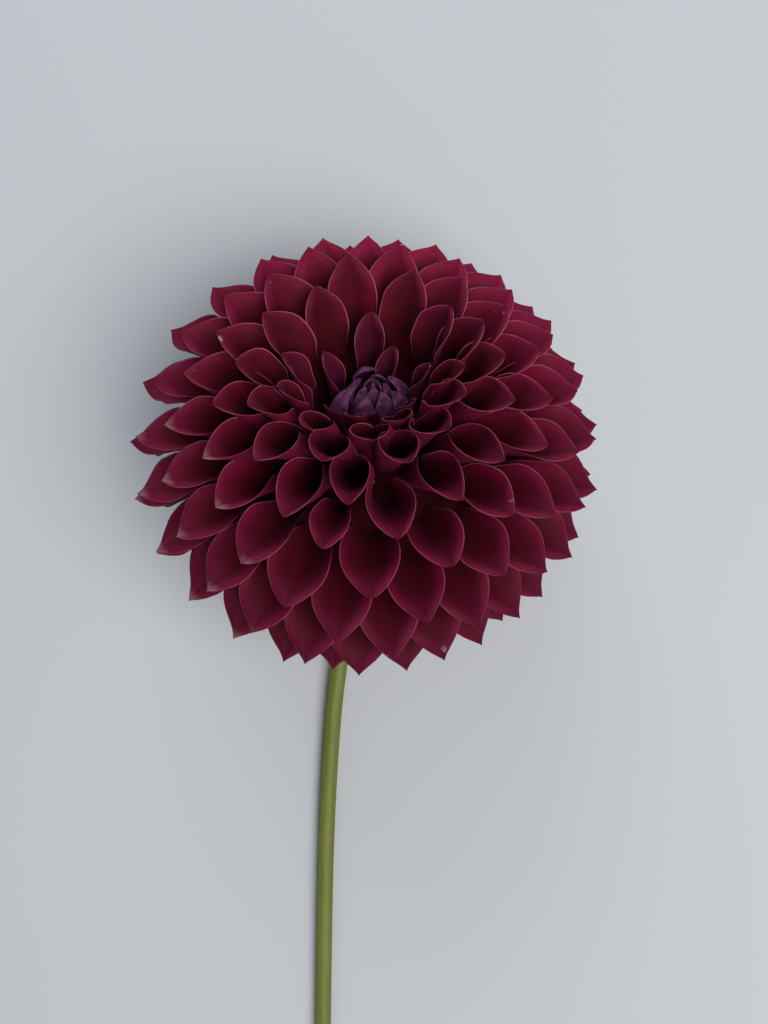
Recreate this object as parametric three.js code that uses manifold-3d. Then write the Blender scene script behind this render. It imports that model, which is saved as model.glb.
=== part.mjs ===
// A dark crimson dahlia bloom of the ball and pompon kind with its cut stem,
// lying on a flat surface. Millimetres, +Z up. The origin is at the bottom
// centre of the box round the whole flower. The stem runs towards -Y.
//
// The florets stand on the head by one rule: each is turned from the last by
// the golden angle and stands a little further from the pole of the face.
// Floret 0 is the one straight below the heart as the face is seen.

import * as THREE from 'three';
import { mergeVertices } from 'three/addons/utils/BufferGeometryUtils.js';
import Module from 'manifold-3d';

const wasm = await Module();
wasm.setup();

// ---------------------------------------------------------------- sizes
const HEAD = {
  centre: new THREE.Vector3(-0.26, 58.46, 37.3), // middle of the ball of tips
  lean: 32, // degrees from upright towards +Y
  tipRadius: 49, // the ball of petal tips, across the axis
  tipDepth: 40, // and along the axis
  wellDepth: 22, // how far the tips sink round the heart
  wellEdge: 30, // degrees from the pole where they start to sink
};

// The packed claws that the blades stand out of: radius and height along the
// axis from the middle of the tips, from the back to the front.
const CORE = {
  profile: [[14, -15], [27, -12], [34, -3], [33.5, 7], [28, 16], [17, 23]],
  sides: 13,
};

const FLORETS = {
  first: -38, // innermost open floret
  last: 148, // outermost, behind the head
  turn: -137.508, // degrees from one floret to the next
  start: -92.2, // degrees, where floret 0 stands
  polar: 42.4, // degrees from the pole to the tip of floret 0
  step: 0.7, // degrees from one floret to the next
  length: [17, 26.5], // innermost, outer
  curve: [3.4, 6.2], // radius of the rolled section
  halfWidth: [6.0, 8.7], // of the blade pressed flat
  growth: 52, // florets over which the blades reach their size
  rootLean: -8, // degrees of the midrib from the line through the tip
  backFrom: 95, // degrees from the pole past which claws run in from the side
  tipLean: [12, 40], // degrees by which the tip leans out from that line
  thickness: 0.95,
  claw: [7, -12], // where the claws meet: radius and height along the axis
  clawReach: 0.7, // how far each one is built towards it
  rows: [0.5, 0.8], // where the facets meet, from root to tip
  plainFrom: 20, // florets from here on have three facets across, not four
};

// How one blade is shaped between its root at 0 and its tip at 1.
const BLADE = {
  widestAt: 0.62,
  clawWidth: 0.42, // against the widest part
  pointPower: 1.8, // how round it is before it comes to its point
  openAt: 0.6, // where the roll has its full radius
  clawRoll: 0.32, // radius of the roll at the claw, against that
};

const HEART = {
  count: 18,
  tipRing: 4.6, // radius of the outermost tips
  baseRing: 5.3,
  baseHeight: 8.5, // along the axis from the middle of the tips
  tipHeight: [23.5, 20.5], // middle tips, outermost tips
  thickness: [1.75, 1.35], // half sizes of one closed floret
  bulge: 1.9, // how far the outer florets bow out
  cushion: 6.6, // radius of the disc that they stand on
  cushionDepth: 3,
  sides: 6,
  rows: [[0, 0.55], [0.35, 1], [0.75, 0.72]], // a bud's height and width, as shares
};

const POCKET = { // the space round the heart, radius and height along the axis
  profile: [[7.2, 5], [8.6, 10], [9.2, 15], [9.2, 26], [12, 48]],
};

const INVOLUCRE = {
  // the fleshy cup, radius and depth behind the core, from the neck to the rim
  cup: [[2.6, 6.4], [4.2, 5.9], [7.6, 3.8], [9.6, 0.3]],
  sides: 18,
  bracts: 7,
  bractFrom: [6.2, 4.2], // where they leave the cup, radius and depth
  bractLength: 15,
  bractHalfWidth: 3.7,
  bractThickness: 1.1,
  bractTurn: [100, 196], // degrees of the midrib from the axis, root and tip
};

const STEM = {
  radii: [2.5, 2.2, 2.1, 2.0], // from the head to the cut
  sides: 12,
  stepsAlong: 36,
  neck: 4.5, // length that runs on straight from there
  // x and y from the middle of the head, and z above the surface
  route: [
    [-2.4, -30, 6.0],
    [-6.0, -45, 3.6],
    [-8.8, -66, 2.6],
    [-10.6, -100, 2.2],
    [-11.4, -148, 2.0],
    [-11.6, -163, 2.0],
  ],
};

const PRESSED = { // petals under the head bend up where they meet the surface
  from: 7, // height at which they start to give
  sink: 3, // how far the round head would reach below the surface
  flat: 0.5, // and how far the bent petals still would, where they are cut flat
};

const GAP = 0.3; // between pieces that touch
const CORE_BACK = CORE.profile[0][1];
const SLIVER = 0.01; // facets thinner than this are merged after joining

const COLOURS = {
  ray_florets: 0x5c1022,
  heart_florets: 0x3d1a33,
  involucre: 0x5f7a2e,
  stem: 0x6f7a33,
};

// ------------------------------------------------------------- the frame
const radians = THREE.MathUtils.degToRad;
const mix = THREE.MathUtils.lerp;
const AXIS = new THREE.Vector3(0, Math.sin(radians(HEAD.lean)), Math.cos(radians(HEAD.lean)));
const RIGHT = new THREE.Vector3(1, 0, 0);
const AWAY = new THREE.Vector3().crossVectors(AXIS, RIGHT); // azimuth 90

// A point of the head: out from the axis, along it, and round it.
function headPoint(out, along, azimuth) {
  return HEAD.centre.clone()
    .addScaledVector(RIGHT, out * Math.cos(azimuth))
    .addScaledVector(AWAY, out * Math.sin(azimuth))
    .addScaledVector(AXIS, along);
}

// Below PRESSED.from heights are squeezed, so that petals lie on the surface.
function press(point) {
  const { from, sink, flat } = PRESSED;
  if (point.z < from) point.z = from - (from - point.z) * (from + flat) / (from + sink);
  return point;
}

// ---------------------------------------------------------- solid helpers
function solidOf(points, faces) {
  const vertProperties = new Float32Array(points.flatMap((p) => [p.x, p.y, p.z]));
  const triVerts = new Uint32Array(faces.flat());
  return new wasm.Manifold(new wasm.Mesh({ numProp: 3, vertProperties, triVerts }));
}

function solidOfGeometry(geometry) {
  const bare = geometry.clone();
  bare.deleteAttribute('normal');
  bare.deleteAttribute('uv');
  const merged = mergeVertices(bare, 1e-4);
  return new wasm.Manifold(new wasm.Mesh({
    numProp: 3,
    vertProperties: new Float32Array(merged.attributes.position.array),
    triVerts: new Uint32Array(merged.index.array),
  }));
}

function joined(solids) {
  if (solids.length === 1) return solids[0];
  const half = solids.length >> 1;
  return joined(solids.slice(0, half)).add(joined(solids.slice(half)));
}

// The largest body alone: sealed hollows are filled, loose scraps dropped and
// slivers left by the joining cleaned away.
function wholeBody(solid) {
  const largest = solid.decompose().reduce((a, b) => (a.volume() > b.volume() ? a : b));
  return largest.asOriginal().simplify(SLIVER);
}

function meshOf(name, solid, roughness) {
  const { vertProperties, triVerts } = solid.getMesh();
  const geometry = new THREE.BufferGeometry();
  geometry.setAttribute('position', new THREE.BufferAttribute(vertProperties, 3));
  geometry.setIndex(new THREE.BufferAttribute(triVerts, 1));
  geometry.computeVertexNormals();
  const material = new THREE.MeshStandardMaterial({
    color: COLOURS[name], roughness, metalness: 0, flatShading: true,
  });
  const mesh = new THREE.Mesh(geometry, material);
  mesh.name = name;
  return mesh;
}

// A turned shape round the head's axis, from [radius, height] pairs.
function turnedOnHead(profile, sides) {
  const outline = profile.map(([x, y]) => new THREE.Vector2(x, y));
  outline.unshift(new THREE.Vector2(0, profile[0][1]));
  outline.push(new THREE.Vector2(0, profile.at(-1)[1]));
  const geometry = new THREE.LatheGeometry(outline, sides);
  geometry.applyMatrix4(new THREE.Matrix4().makeRotationX(Math.PI / 2 - radians(HEAD.lean)));
  geometry.translate(...HEAD.centre);
  return solidOfGeometry(geometry);
}

// A pointed blade whose back and inner face share the margins, the tip and the
// root, and are split into triangles alike. at(s, across, inward) places it.
function bladeSolid(rows, across, at, thickness, rootPlace) {
  const wide = across.length;
  const points = [];
  const back = rows.map((s) => across.map((a) => points.push(at(s, a, 0)) - 1));
  const front = rows.map((s, row) => across.map((a, i) => {
    if (i === 0 || i === wide - 1) return back[row][i];
    return points.push(at(s, a, thickness)) - 1;
  }));
  const tip = points.push(at(1, 0, 0)) - 1;
  const root = points.push(rootPlace ?? at(rows[0], 0, thickness / 2)) - 1;
  const end = rows.length - 1;
  const faces = [];
  for (const [grid, facesOut] of [[back, true], [front, false]]) {
    for (let i = 0; i + 1 < wide; i++) {
      const cells = [[grid[0][i], root, grid[0][i + 1]], [grid[end][i], grid[end][i + 1], tip]];
      for (let row = 0; row < end; row++) {
        const [a, b] = [grid[row][i], grid[row][i + 1]];
        const [c, d] = [grid[row + 1][i + 1], grid[row + 1][i]];
        cells.push(...(i < (wide - 1) / 2 ? [[a, b, c], [a, c, d]] : [[a, b, d], [b, c, d]]));
      }
      faces.push(...cells.map((cell) => (facesOut ? cell : cell.toReversed())));
    }
  }
  return solidOf(points, faces);
}

// ----------------------------------------------------------- ray florets
// Everything that one floret needs, from its number alone.
function floret(n) {
  const { first, growth } = FLORETS;
  const grown = 1 - Math.exp(-(n - first) / growth);
  const polar = radians(FLORETS.polar + FLORETS.step * n);
  const edge = Math.max(0, 1 - polar / radians(HEAD.wellEdge));
  return {
    azimuth: radians(FLORETS.start + FLORETS.turn * n),
    tipOut: HEAD.tipRadius * Math.sin(polar),
    tipAlong: HEAD.tipDepth * Math.cos(polar) - HEAD.wellDepth * edge ** 1.5,
    length: mix(...FLORETS.length, grown),
    curve: mix(...FLORETS.curve, grown),
    halfWidth: mix(...FLORETS.halfWidth, grown),
    rootTurn: polar + radians(FLORETS.rootLean) - Math.max(0, polar - radians(FLORETS.backFrom)),
    tipTurn: polar + radians(mix(...FLORETS.tipLean, grown)),
  };
}

// The midrib is an arc in the plane of the axis: where it is at s, from 0 at
// the root to 1 at the tip, and which way it heads, from the axis.
function midrib(f, s) {
  const bend = f.tipTurn - f.rootTurn;
  const heading = f.rootTurn + bend * s;
  const radius = f.length / bend;
  return {
    heading,
    out: f.tipOut - radius * (Math.cos(heading) - Math.cos(f.tipTurn)),
    along: f.tipAlong - radius * (Math.sin(f.tipTurn) - Math.sin(heading)),
  };
}

// From 0 to 1 as s goes from 0 to the end, quickly at first.
const eased = (s, end) => Math.sin(Math.min(1, s / end) * Math.PI / 2);

// The blade pressed flat: half its width at s, a claw that opens to a point.
function bladeHalfWidth(f, s) {
  const { widestAt, clawWidth, pointPower } = BLADE;
  const pointed = Math.max(0, (s - widestAt) / (1 - widestAt));
  return f.halfWidth * mix(clawWidth, 1, eased(s, widestAt)) * (1 - pointed ** pointPower);
}

// Radius of the rolled section at s.
function rollRadius(f, s) {
  return f.curve * mix(BLADE.clawRoll, 1, eased(s, BLADE.openAt));
}

// A point of the blade: across from -1 to 1, and inwards from the back face.
function bladePoint(f, s, across, inward) {
  const { out, along, heading } = midrib(f, s);
  const roll = rollRadius(f, s);
  const angle = across * bladeHalfWidth(f, s) / roll;
  const lift = roll - (roll - inward) * Math.cos(angle);
  const side = (roll - inward) * Math.sin(angle);
  const point = headPoint(
    out - lift * Math.cos(heading), along + lift * Math.sin(heading), f.azimuth,
  );
  point.addScaledVector(RIGHT, -side * Math.sin(f.azimuth));
  point.addScaledVector(AWAY, side * Math.cos(f.azimuth));
  return press(point);
}

// One floret, whose claw narrows to a point inside the core.
function floretSolid(n) {
  const f = floret(n);
  const across = n < FLORETS.plainFrom ? [-1, -0.45, 0, 0.45, 1] : [-1, -0.38, 0.38, 1];
  const at = (s, side, inward) => bladePoint(f, s, side, inward);
  return bladeSolid(FLORETS.rows, across, at, FLORETS.thickness, rootPoint(f, FLORETS.rows[0]));
}

// The point of the claw, on its way from the blade at s to where claws meet.
function rootPoint(f, s) {
  const { out, along } = midrib(f, s);
  return press(headPoint(
    mix(out, FLORETS.claw[0], FLORETS.clawReach),
    mix(along, FLORETS.claw[1], FLORETS.clawReach),
    f.azimuth,
  ));
}

function surfaceCutter() {
  const size = 400;
  const geometry = new THREE.BoxGeometry(size, size, size);
  geometry.translate(0, 0, -size / 2);
  return solidOfGeometry(geometry);
}

function rayFlorets() {
  const numbers = Array.from(
    { length: FLORETS.last - FLORETS.first + 1 }, (_, i) => FLORETS.first + i,
  );
  const bloom = joined([turnedOnHead(CORE.profile, CORE.sides), ...numbers.map(floretSolid)])
    .subtract(turnedOnHead(POCKET.profile, 16))
    .subtract(surfaceCutter());
  return wholeBody(bloom);
}

// ---------------------------------------------------------- heart florets
// A closed floret: a folded bud, widest at a third of its height, whose tip
// leans in over the middle.
function budSolid(i) {
  const from = (i + 0.5) / HEART.count; // 0 in the middle, 1 at the ring
  const azimuth = radians(FLORETS.start + FLORETS.turn * (FLORETS.first - 1 - HEART.count + i));
  const base = { out: HEART.baseRing * Math.sqrt(from), along: HEART.baseHeight };
  const tip = { out: HEART.tipRing * from, along: mix(...HEART.tipHeight, from) };
  const { sides, rows } = HEART;
  const points = [];
  const rings = rows.map(([up, width]) => Array.from({ length: sides }, (_, k) => {
    const angle = (k / sides) * 2 * Math.PI;
    const bulge = HEART.bulge * from * Math.sin(up * Math.PI);
    const out = mix(base.out, tip.out, up) + bulge + HEART.thickness[1] * width * Math.cos(angle);
    const point = headPoint(out, mix(base.along, tip.along, up), azimuth);
    const side = HEART.thickness[0] * width * Math.sin(angle);
    point.addScaledVector(RIGHT, -side * Math.sin(azimuth));
    point.addScaledVector(AWAY, side * Math.cos(azimuth));
    return points.push(point) - 1;
  }));
  const top = points.push(headPoint(tip.out, tip.along, azimuth)) - 1;
  const bottom = points.push(headPoint(base.out, base.along - 1, azimuth)) - 1;
  const faces = [];
  for (let k = 0; k < sides; k++) {
    const next = (k + 1) % sides;
    faces.push([bottom, rings[0][next], rings[0][k]]);
    for (let row = 0; row + 1 < rows.length; row++) {
      const [a, b] = [rings[row][k], rings[row][next]];
      const [c, d] = [rings[row + 1][next], rings[row + 1][k]];
      faces.push([a, b, c], [a, c, d]);
    }
    faces.push([rings.at(-1)[k], rings.at(-1)[next], top]);
  }
  return solidOf(points, faces);
}

function heartFlorets() {
  const { cushion, cushionDepth, baseHeight } = HEART;
  const disc = turnedOnHead(
    [[cushion, baseHeight - cushionDepth], [cushion, baseHeight], [cushion / 2, baseHeight + 1]],
    HEART.sides * 2,
  );
  const buds = Array.from({ length: HEART.count }, (_, i) => budSolid(i));
  return wholeBody(joined([disc, ...buds]));
}

// -------------------------------------------------------------- involucre
// One green bract: a leaf that leaves the cup and bends back to the stem.
function bractSolid(i) {
  const { bractFrom, bractLength, bractHalfWidth, bractThickness, bractTurn } = INVOLUCRE;
  const azimuth = (i / INVOLUCRE.bracts) * 2 * Math.PI;
  const rows = [0, 0.4, 0.75];
  const widths = [0.6, 1, 0.75];
  const [from, to] = bractTurn.map(radians);
  const radius = bractLength / (to - from);
  const at = (s, across, inward) => {
    const heading = mix(from, to, s);
    const width = bractHalfWidth * across * (s === 1 ? 0 : widths[rows.indexOf(s)]);
    const out = bractFrom[0] + radius * (Math.cos(from) - Math.cos(heading));
    const along = CORE_BACK - bractFrom[1] + radius * (Math.sin(heading) - Math.sin(from));
    const lift = inward + 0.12 * Math.abs(width);
    const point = headPoint(
      out - lift * Math.cos(heading), along + lift * Math.sin(heading), azimuth,
    );
    point.addScaledVector(RIGHT, -width * Math.sin(azimuth));
    point.addScaledVector(AWAY, width * Math.cos(azimuth));
    return point;
  };
  return bladeSolid(rows, [-1, 0, 1], at, bractThickness);
}

function involucre() {
  const cup = turnedOnHead(
    INVOLUCRE.cup.map(([out, depth]) => [out, CORE_BACK - depth]), INVOLUCRE.sides,
  );
  const bracts = Array.from({ length: INVOLUCRE.bracts }, (_, i) => bractSolid(i));
  return wholeBody(joined([cup, ...bracts]));
}

// ------------------------------------------------------------------- stem
// A round rod along a curve, its radius given at even steps of the way.
function rodSolid(curve, radii, sides, steps) {
  const { normals, binormals } = curve.computeFrenetFrames(steps, false);
  const radiusCurve = new THREE.CatmullRomCurve3(radii.map((r) => new THREE.Vector3(r, 0, 0)));
  const points = [];
  const rings = normals.map((normal, step) => {
    const centre = curve.getPointAt(step / steps);
    const radius = radiusCurve.getPoint(step / steps).x;
    return Array.from({ length: sides }, (_, k) => {
      const angle = (k / sides) * 2 * Math.PI;
      const point = centre.clone().addScaledVector(normal, radius * Math.cos(angle));
      return points.push(point.addScaledVector(binormals[step], radius * Math.sin(angle))) - 1;
    });
  });
  const faces = [];
  for (let k = 0; k < sides; k++) {
    const next = (k + 1) % sides;
    for (let step = 0; step < steps; step++) {
      const [a, b] = [rings[step][k], rings[step][next]];
      const [c, d] = [rings[step + 1][next], rings[step + 1][k]];
      faces.push([a, b, c], [a, c, d]);
    }
    if (k > 0 && k < sides - 1) {
      faces.push([rings[0][0], rings[0][next], rings[0][k]]);
      faces.push([rings[steps][0], rings[steps][k], rings[steps][next]]);
    }
  }
  return solidOf(points, faces);
}

function stem() {
  const { x, y } = HEAD.centre;
  const top = CORE_BACK - INVOLUCRE.cup[0][1] - GAP;
  const base = headPoint(0, top, 0);
  const neck = headPoint(0, top - STEM.neck, 0);
  const route = STEM.route.map(([dx, dy, height]) => new THREE.Vector3(x + dx, y + dy, height));
  const curve = new THREE.CatmullRomCurve3([base, neck, ...route]);
  return rodSolid(curve, STEM.radii, STEM.sides, STEM.stepsAlong);
}

const flower = new THREE.Group();
flower.add(meshOf('ray_florets', rayFlorets(), 0.6));
flower.add(meshOf('heart_florets', heartFlorets(), 0.55));
flower.add(meshOf('involucre', involucre(), 0.7));
flower.add(meshOf('stem', stem(), 0.7));

export default flower;
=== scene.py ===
"""A dark crimson ball dahlia with its cut stem, lying on a pale floor.

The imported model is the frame: every piece is built in metres where its node
lies. The florets follow one rule, the golden angle, as they do on the head.
"""

import math

import bpy
from mathutils import Matrix, Vector


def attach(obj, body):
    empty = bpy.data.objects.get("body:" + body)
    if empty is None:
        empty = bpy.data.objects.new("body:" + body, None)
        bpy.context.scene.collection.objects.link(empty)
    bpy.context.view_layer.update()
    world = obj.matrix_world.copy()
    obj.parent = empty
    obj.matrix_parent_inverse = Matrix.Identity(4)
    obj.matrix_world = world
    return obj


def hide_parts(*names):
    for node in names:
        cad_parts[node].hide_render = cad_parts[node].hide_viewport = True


bl_info = {
    "name": "Ball dahlia",
    "version": (1, 0, 0),
    "blender": (4, 5, 0),
    "location": "3D View > Sidebar > Dahlia",
    "description": "Builds a ball dahlia bloom, its involucre and its cut stem",
    "category": "Add Mesh",
}

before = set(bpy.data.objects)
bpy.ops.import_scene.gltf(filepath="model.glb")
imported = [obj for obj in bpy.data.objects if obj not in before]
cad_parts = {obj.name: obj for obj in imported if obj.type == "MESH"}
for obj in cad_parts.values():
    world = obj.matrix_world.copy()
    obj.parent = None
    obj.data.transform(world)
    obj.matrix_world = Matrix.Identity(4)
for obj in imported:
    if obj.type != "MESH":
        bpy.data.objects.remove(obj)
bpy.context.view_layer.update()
BODY = "root"

MM = 0.001
DEG = math.radians(1)
FLOOR_CLEARANCE = 0.02 * MM  # nothing of the flower is lower

# The head: where the middle of the ball of petal tips is, and how far its axis
# leans from upright towards +Y.
HEAD_CENTRE = Vector((-0.26, 58.46, 37.3)) * MM
HEAD_LEAN = 32 * DEG
TURN_TO_HEAD = Matrix.Rotation(-HEAD_LEAN, 3, "X")

# The florets are numbered outwards, and 0 is the first of the face. Azimuths are
# round the head's axis, polar angles are from it.
GOLDEN_TURN = -137.508 * DEG  # from one floret to the next
ROSETTE_START = -95.5 * DEG  # the azimuth of floret 0
# The pieces: name, first floret, how many, and a blade's columns and rows.
PETAL_PIECES = [
    ("petals_round_the_heart", -43, 43, 25, 24),
    ("petals_of_the_face", 0, 70, 29, 26),
    ("petals_behind", 70, 79, 21, 24),
]

# The head isn't quite round. Each row swings the florets round the axis, or tilts
# them from it: waves in a turn, degrees, and where the wave is at its highest.
HEAD_SWING = [(1, 5.5, -124), (2, 2.35, -52)]
HEAD_TILT = [(1, 3.26, 67), (2, 1.18, 20)]
# Florets that stand off the rule: number, and degrees round the axis and from it.
ODD_FLORETS = [
    (-26, 1, 1), (-18, -8, -1.3), (-8, 0, -2.3), (-5, -3.4, -1.6), (0, -1.7, -0.6),
    (-3, -1, 1.8), (10, 3, -0.5),
]
# How blades differ: the rate and the phase of a sine of the number, and how much.
WOBBLES = {
    "azimuth": (2.39, 0.5, 1.0 * DEG),
    "polar": (4.13, 1.7, 0.5 * DEG),
    "tip lean": (3.31, 0.0, 3.5 * DEG),
    "length": (5.77, 0.0, 0.05),
    "roll": (7.19, 2.0, 0.05),
    "wrap": (8.41, 0.0, 0.06),
    "beak": (6.37, 0.0, 0.3),
}

# Blades have states, from 0 to 1. These are the florets over which one sets in or
# ends, and which way the blades stand that have it.
YOUNGEST_END = (-40.5, -34.5)
OPENED_END = (-15.0, 30.0)
CLOSED_END = (0.0, 24.0)
FLATTENED_END = (-24.0, 8.0)
FLAT_START = (15.0, 50.0)
KEEL_FADES = (0.0, 30.0)
PUSHED_START, PUSHED_END = (-36.0, -27.0), (-12.0, 8.0)
PUSHED_TOWARDS, PUSHED_POWER = -125 * DEG, 8
ROUNDED_TOWARDS, ROUNDED_POWER = 60 * DEG, 2
SMALL_FLORET = 21  # one petal of the face has stayed small
# What the states do to a blade. A change is a share of what it changes.
ROLL_CHANGES = {"opened": 0.5, "stunted": -0.28, "flat": 0.18}
WRAP_CHANGES = {"opened": -0.46, "closed": 0.6, "flat": -0.25}
LENGTH_CHANGES = {"stunted": -0.15}
LIFT_CHANGES = {"flattened": -0.45}
SIDE_CHANGES = {"flattened": 0.25}
YOUNGEST_KEEP_SHUT = 0.7
YOUNGEST_LEAN_IN = 5 * MM
YOUNGEST_SINK = (1.5 * MM, 6 * MM)  # on the near side and on the far side
PUSHED_TILT = 2 * DEG
STUNTED_TILT = 3.5 * DEG
ROUNDED_POINT = 0.9  # added to the power of the point
OPENED_CLAW, CLOSED_CLAW = 0.9, 0.3  # the roll of the claw, and what is added to it
FAR_KEEL, OUTER_KEEL = 0.6, 0.6  # how much less of a keel
GROWTH_LEAD = -2.0  # how far before the innermost a floret has no growth
OPENED_GROWN = 0.8  # how much of its growth an opened floret has from the start

# A blade's form, along its length and across its half width, from 0 to 1.
INNER_FACE_COLUMNS = 0.4999  # share of the columns that are on the inner face
ROW_CROWDING = 1.25  # over 1, the rows are closer together at the tip
SAME_POINT = 0.004 * MM  # points that are closer are merged
WELL_POWER = 1.5  # over 1, the tips sink more steeply by the heart
FACES_MEET_AT_ROOT, FACES_MEET_AT_TIP = 0.05, 0.06
MARGIN_THINNING = 6  # the power of the width
KEEL_SPAN = (0.72, 1.02)
BEAK_SPAN = (0.8, 1.05)
BEAK_PLAIN, BEAK_CLOSED = 0.3, 2.6
NARROW_WRAP_POWER = 0.4  # how far a narrower roll wraps further round
WIDEST_WRAP = 192 * DEG
LAP_DEPTH, LAP_SPAN = 0.16, (0.35, 0.9)  # one margin over the other
CREASE_SHARPNESS = 60  # the crease runs down the middle
RIPPLES = (17, 1.3, 1.5)  # by the length, by the number and by the width
RIPPLE_POWER, RIPPLE_FADES = 3, 0.25

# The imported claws: radius and height along the axis, from the back round the
# front and down the walls of the pocket that holds the heart.
CORE_OUTLINE = [
    (14, -15), (27, -12), (33.4, -3), (32, 6), (26, 13), (18, 16), (12, 15), (9.4, 12),
    (8.8, 9), (7, 6),
]
CORE_BACK = -15 * MM
CORE_SIDES = 72
RING_CLEARANCE = 0.6 * MM  # no ring round the axis is lower over the floor

# The fleshy green cup: radius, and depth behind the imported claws. The rings that
# are wider than its neck have shallow lobes.
CUP_OUTLINE = [
    (2.6, 6.4), (3.2, 6.25), (4.2, 5.9), (6.1, 4.9), (7.6, 3.8), (8.8, 2.1), (9.6, 0.3),
    (7.5, 0.2),
]
CUP_SIDES, CUP_LOBES, CUP_LOBE_DEPTH, CUP_NECK = 56, 7, 0.03, 3
BRACTS = 7
BRACT_ROOT = (6.2 * MM, CORE_BACK - 4.2 * MM)  # out from the axis, and along it
BRACT_LENGTH = 15 * MM
BRACT_TURNS = [100 * DEG, 196 * DEG]  # of the midrib, root and tip
BRACT_POLAR = 150 * DEG
PAPERY_SCALES = 8
PAPERY_TIP = (20.5 * MM, -16.6 * MM)  # out from the axis, and along it
PAPERY_TURNS = [100 * DEG, 78 * DEG]
PAPERY_POLAR = 128 * DEG

# Petals under the head bend up where they meet the surface.
PRESS_FROM = 7 * MM
PRESS_SINK = 3 * MM

# The stalk's middle line: x and y from the middle of the head, z above the floor.
STEM_ROUTE = [
    (-2.4, -30, 6.0), (-6.0, -45, 3.6), (-8.8, -66, 2.6),
    (-10.6, -100, 2.2), (-11.4, -148, 2.0), (-11.6, -163, 2.0),
]
STEM_TOP = -21.7  # along the head's axis
STEM_NECK = 4.5  # the length that runs on straight from there
STEM_RADII = [2.5, 2.2, 2.1, 2.0]
STEM_SIDES, STEM_STEPS = 40, 110
RIBS, RIB_DEPTH, RIB_TWIST = 8, 0.012, 0.012  # the twist is in radians a step
KNOT_DEPTH, KNOT_RATE, KNOT_TWIST = 0.012, 0.31, 0.11
# The cut: share of the radius, millimetres up the stalk, and the pith's paint. It
# has a rim, the pale pith, and the hollow that runs up the middle.
CUT_RINGS = [
    (0.97, -0.06, 0.1), (0.9, 0.0, 0.8), (0.62, 0.08, 1.0), (0.5, 0.1, 1.0),
    (0.42, 0.6, 0.6), (0.38, 3.0, 0.3), (0.2, 4.0, 0.3),
]

# Of this paint, the near side, the floor of the roll and the claw take painted shade, the far side
# takes painted light, and the walls of the roll and the margins take painted highlights.
# Where a petal's paint sets in and is full. By the number of the floret:
OUTER_FROM, OUTER_LEAD = (-35.0, 40.0), 18  # the lead is that of the far side
SHADED_FROM, PAINTED_LIGHT_FROM = (0.0, 35.0), (-34.0, 2.0)
YOUNG_UNTIL, RIM_FADES, DRIED_FROM = (-41.0, -33.0), (-10.0, 40.0), (-8.0, 4.0)
# By the share of the length:
CLAW_SHADE_UNTIL, WALL_FROM, RIM_FROM, TIP_FROM = (0.1, 0.6), (0.3, 0.6), (0.15, 0.4), (0.6, 1.0)
DRIED_TIP, WORN_TIP = (0.9, 0.985), (0.86, 0.97)
FLOOR_ENDS = (0.02, 0.3)  # from the tip
# By the share of half the width:
FLOOR_UNTIL, WALL_OUT, RIM_OUT = (0.3, 0.7), (0.62, 0.9), (0.955, 0.99)
# By the value of a noise or a sine:
CLOUDED, VEINED, DRIED_VEINS, FLECKED = (0.42, 0.7), (0.5, 0.7), (0.4, 0.62), (0.66, 0.72)
WORN_TURN, WORN_FLORETS = (0.82, 0.96), (0.6, 0.85)
WORN_TOWARDS = -150 * DEG  # the tips on the lower left have dried
# How much of each layer there is over the ones below it:
CLOUD, TONE, SHADED, LIGHT = 0.35, 0.25, 0.95, 0.75
ROLL_FLOOR, CLAW, VEINS, BACK = 0.6, 0.7, 0.38, 0.55
WALL, WALL_LESS_SHADED, TINT, TINT_LESS_PAINTED_LIGHT = 0.62, 0.2, 0.55, 0.35
YOUNG, YOUNG_LESS_TIP, RIM, RIM_LESS_OUTER, DRIED = 0.9, 0.4, 0.8, 0.4, 0.5
# The rates of the sines of a floret's number, and the scales of the noises.
TONE_RATE, HEART_TONE_RATE, WORN_RATE = 3.7, 2.9, 5.3
CLOUD_SCALE, FLECK_SCALE, GRAIN_SCALE = 90.0, 420.0, 2600.0
VEIN_NOISE = (3.2, 4.0, 0.62)  # its scale, detail and roughness
VEIN_RATES = (9, 0.9, 1.7)  # by the width, by the length and by the number
PAPERY_VEIN_RATES = (14, 1.2, 1.7)

FLOOR_HALF_WIDTH = 2.0
FLOOR_COLOURS = (0.4, 0.415, 0.43, 1.0), (0.36, 0.375, 0.395, 1.0)
SKY_COLOUR, SKY_STRENGTH = (0.8, 0.88, 1.0, 1.0), 0.36
LIGHT_TARGET = Vector((0.0, 0.04, 0.03))
# Name, place, width, power and colour.
LIGHTS = [
    ("key", (0.3, -0.15, 0.8), 0.6, 8.8, (1.0, 0.97, 0.95)),
    ("fill", (-0.15, 0.75, 0.4), 0.5, 3.2, (0.92, 0.96, 1.0)),
]
PHOTO_HEIGHT = 1024
SENSOR = 36.0
FOCAL_PIXELS = 1000  # the lens, in pixels of the photograph
EYE_OFFSET = Vector((4.1, -13.7, 216.7)) * MM  # from the middle of the head


# ---- node maths
def node_operator(operation):
    """An operator's method and its reflected form, which add a Math node."""
    def plain(self, other):
        return self.tree.maths(operation, self, other)

    def reflected(self, other):
        return self.tree.maths(operation, other, self)

    return plain, reflected


class Term:
    """A socket whose Python operators add Math nodes to its tree."""

    def __init__(self, tree, socket):
        self.tree = tree
        self.socket = socket

    def maths(self, operation, *others):
        return self.tree.maths(operation, self, *others)

    __add__, __radd__ = node_operator("ADD")
    __sub__, __rsub__ = node_operator("SUBTRACT")
    __mul__, __rmul__ = node_operator("MULTIPLY")
    __truediv__, __rtruediv__ = node_operator("DIVIDE")
    __pow__, __rpow__ = node_operator("POWER")


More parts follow.
